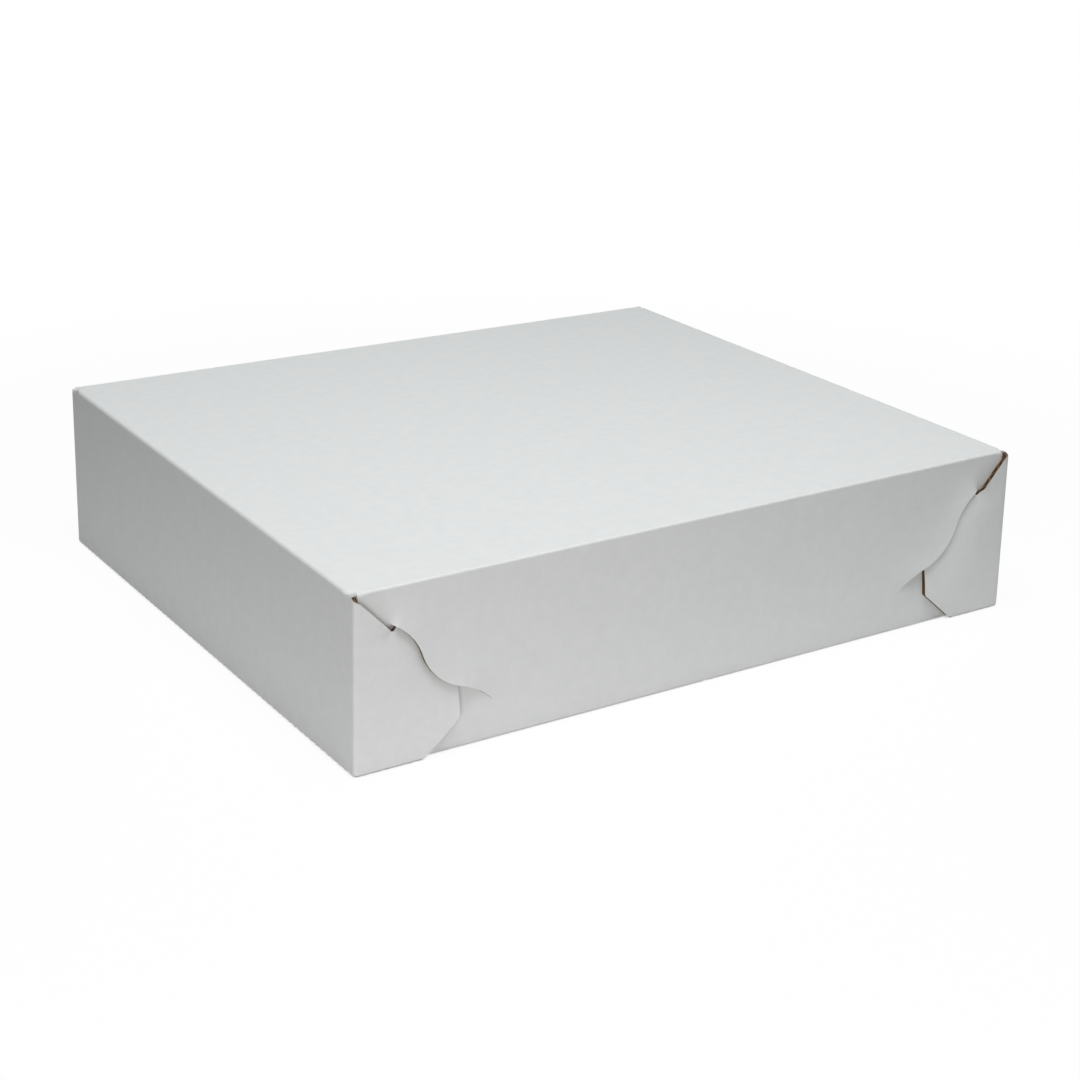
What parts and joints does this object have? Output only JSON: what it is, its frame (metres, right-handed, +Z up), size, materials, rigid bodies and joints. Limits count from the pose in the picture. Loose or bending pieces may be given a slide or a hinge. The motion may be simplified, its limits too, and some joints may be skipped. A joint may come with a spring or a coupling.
{
  "type": "slab cake box",
  "caption": "Wide shallow two-piece cake box of white corrugated board, with a base tray and a full-depth lid that lock at their corners with tabs through curved slits.",
  "frame": {"origin": "centre of the closed box on the table, at the underside of the base tray", "axes": "+X along the long side, +Y from front to back, +Z up, the way the lid lifts"},
  "size_m": [0.436, 0.38, 0.1],
  "materials": {
    "lid_board": "matt white-lined corrugated board with brown cut edges",
    "tray_board": "matt white-lined corrugated board with brown cut edges"
  },
  "bodies": {
    "base": {"base_tray": "tray_board"},
    "lid": {"lid": "lid_board"}
  },
  "joints": [
    {"name": "lid_lift", "type": "slide", "parent": "base", "child": "lid", "axis": [0, 0, 1], "range_m": [0, 0.12]}
  ]
}
